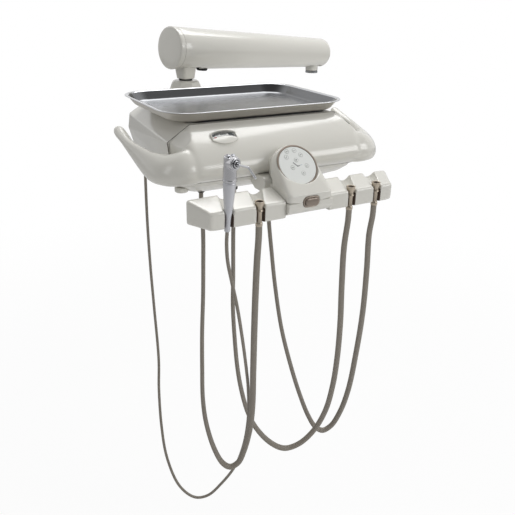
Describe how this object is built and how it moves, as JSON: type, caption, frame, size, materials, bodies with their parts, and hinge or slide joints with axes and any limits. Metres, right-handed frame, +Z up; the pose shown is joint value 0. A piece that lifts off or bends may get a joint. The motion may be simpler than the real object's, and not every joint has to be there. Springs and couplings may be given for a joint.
{
  "type": "dental delivery head on a flex arm",
  "caption": "Dental instrument head with tray, touchpad, tilting holder bar, syringe and looped hoses, hung from a balanced flex arm with a swivel at each end.",
  "frame": {"origin": "Centre of the mouth of the blind bore in the spindle, where a fixed arm's stud goes in from below.", "axes": "+Z up; -Y is the side the operator faces (touchpad and holder bar); +X to the operator's right."},
  "size_m": [0.7119, 0.7007, 1.0105],
  "materials": {
    "ivory": "glossy painted moulding",
    "hose": "satin hose skin",
    "champagne": "satin anodised",
    "tray_steel": "fine brushed",
    "turned_steel": "turned",
    "chrome": "polished",
    "link_metal": "mill",
    "black_rubber": "matte",
    "clear": "clear",
    "dial": "printed scale",
    "needle": "red",
    "block": "matte",
    "taupe": "satin",
    "touch_film": "smooth film",
    "grey_body": "pale grey",
    "gland": "matte"
  },
  "bodies": {
    "spindle": {"spindle": "turned_steel", "thrust_washer": "black_rubber"},
    "base": {"base_knuckle": "ivory", "base_pins": "turned_steel"},
    "arm": {"arm_cover": "ivory", "arm_end_cap": "ivory", "arm_bumper": "black_rubber", "main_link": "link_metal"},
    "link": {"parallel_link": "link_metal"},
    "arm_head": {"head_knuckle": "ivory", "head_pins": "turned_steel"},
    "head": {"post_boss": "ivory", "swivel_bush": "black_rubber", "head_bracket": "ivory", "front_shell": "ivory", "rear_cover": "ivory", "lower_pan": "ivory", "tray_mat": "black_rubber", "gauge_bezel": "ivory", "gauge_dial": "dial", "gauge_window": "clear", "control_block": "block", "hose_glands": "gland", "pan_screws": "turned_steel", "holder_neck": "ivory", "centre_upper": "ivory", "centre_lower": "ivory", "touchpad_ring": "taupe", "touchpad_face": "touch_film", "brake_ring": "taupe", "bar_shaft": "turned_steel", "hose_1": "hose", "hose_2": "hose", "hose_3": "hose", "hose_4": "hose"},
    "tray": {"tray": "tray_steel"},
    "gauge_needle": {"gauge_needle": "needle"},
    "flow_knob": {"flow_knob": "ivory"},
    "brake_button": {"brake_button": "taupe"},
    "holder_left": {"left_holder": "ivory", "terminal_2": "champagne", "syringe_body": "grey_body", "syringe_collar": "champagne", "syringe_head": "chrome", "syringe_nut": "chrome"},
    "holder_right": {"right_holder": "ivory", "terminal_3": "champagne", "terminal_4": "champagne"},
    "syringe_tip": {"syringe_tip": "chrome"},
    "air_button": {"air_button": "chrome"},
    "water_button": {"water_button": "chrome"},
    "touch_key_1": {"touch_key_1": "touch_film"},
    "touch_key_2": {"touch_key_2": "touch_film"},
    "touch_key_3": {"touch_key_3": "touch_film"},
    "touch_key_4": {"touch_key_4": "touch_film"},
    "touch_key_5": {"touch_key_5": "touch_film"},
    "touch_key_6": {"touch_key_6": "touch_film"},
    "touch_key_7": {"touch_key_7": "touch_film"},
    "touch_key_8": {"touch_key_8": "touch_film"}
  },
  "joints": [
    {"name": "arm_swivel", "type": "hinge", "parent": "spindle", "child": "base", "pos_m": [0, 0, 0], "axis": [0, 0, 1], "range_deg": [-150, 150]},
    {"name": "arm_lift", "type": "hinge", "parent": "base", "child": "arm", "pos_m": [0, 0, 0.052], "axis": [0.225, -0.9744, 0], "range_deg": [-12, 20]},
    {"name": "link_follow", "type": "hinge", "parent": "base", "child": "link", "pos_m": [0, 0, 0.072], "axis": [0.225, -0.9744, 0], "range_deg": [-12, 20]},
    {"name": "head_level", "type": "hinge", "parent": "arm", "child": "arm_head", "pos_m": [-0.41412, -0.09561, 0.08098], "axis": [0.225, -0.9744, 0], "range_deg": [-20, 12]},
    {"name": "head_swivel", "type": "hinge", "parent": "arm_head", "child": "head", "pos_m": [-0.41412, -0.09561, 0.00097], "axis": [0, 0, 1], "range_deg": [-120, 25]},
    {"name": "tray_lift", "type": "slide", "parent": "head", "child": "tray", "axis": [0, 0, 1], "range_m": [0, 0.025]},
    {"name": "left_holder_tilt", "type": "hinge", "parent": "head", "child": "holder_left", "pos_m": [-0.50912, -0.57561, -0.12903], "axis": [1, 0, 0], "range_deg": [-15, 15], "deforming": ["hose_1", "hose_2"]},
    {"name": "right_holder_tilt", "type": "hinge", "parent": "head", "child": "holder_right", "pos_m": [-0.31912, -0.57561, -0.12903], "axis": [1, 0, 0], "range_deg": [-15, 15], "deforming": ["hose_3", "hose_4"]},
    {"name": "tip_turn", "type": "hinge", "parent": "holder_left", "child": "syringe_tip", "pos_m": [-0.56548, -0.60006, -0.04016], "axis": [0.2084, -0.9771, 0.0439], "continuous": true},
    {"name": "air_press", "type": "slide", "parent": "holder_left", "child": "air_button", "axis": [-0.0279, 0.0384, -0.9989], "range_m": [0, 0.0015], "stiffness_N_per_m": 1500},
    {"name": "water_press", "type": "slide", "parent": "holder_left", "child": "water_button", "axis": [-0.0279, 0.0384, -0.9989], "range_m": [0, 0.0015], "stiffness_N_per_m": 1500},
    {"name": "needle_turn", "type": "hinge", "parent": "head", "child": "gauge_needle", "pos_m": [-0.51912, -0.49605, -0.03253], "axis": [0, -0.6225, 0.7826], "range_deg": [-80, 0], "stiffness_Nm_per_rad": 0.0002},
    {"name": "flow_turn", "type": "hinge", "parent": "head", "child": "flow_knob", "pos_m": [-0.59012, -0.46261, -0.11603], "axis": [0, 0, -1], "range_deg": [0, 270]},
    {"name": "brake_press", "type": "slide", "parent": "head", "child": "brake_button", "axis": [0, 1, 0], "range_m": [0, 0.002], "stiffness_N_per_m": 1200},
    {"name": "key_1_press", "type": "slide", "parent": "head", "child": "touch_key_1", "axis": [0, 0.749, -0.6626], "range_m": [0, 0.0005], "stiffness_N_per_m": 3000},
    {"name": "key_2_press", "type": "slide", "parent": "head", "child": "touch_key_2", "axis": [0, 0.749, -0.6626], "range_m": [0, 0.0005], "stiffness_N_per_m": 3000},
    {"name": "key_3_press", "type": "slide", "parent": "head", "child": "touch_key_3", "axis": [0, 0.749, -0.6626], "range_m": [0, 0.0005], "stiffness_N_per_m": 3000},
    {"name": "key_4_press", "type": "slide", "parent": "head", "child": "touch_key_4", "axis": [0, 0.749, -0.6626], "range_m": [0, 0.0005], "stiffness_N_per_m": 3000},
    {"name": "key_5_press", "type": "slide", "parent": "head", "child": "touch_key_5", "axis": [0, 0.749, -0.6626], "range_m": [0, 0.0005], "stiffness_N_per_m": 3000},
    {"name": "key_6_press", "type": "slide", "parent": "head", "child": "touch_key_6", "axis": [0, 0.749, -0.6626], "range_m": [0, 0.0005], "stiffness_N_per_m": 3000},
    {"name": "key_7_press", "type": "slide", "parent": "head", "child": "touch_key_7", "axis": [0, 0.749, -0.6626], "range_m": [0, 0.0005], "stiffness_N_per_m": 3000},
    {"name": "key_8_press", "type": "slide", "parent": "head", "child": "touch_key_8", "axis": [0, 0.749, -0.6626], "range_m": [0, 0.0005], "stiffness_N_per_m": 3000}
  ],
  "couplings": [
    {"joint": "link_follow", "follows": "arm_lift", "ratio": 1},
    {"joint": "head_level", "follows": "arm_lift", "ratio": -1}
  ]
}
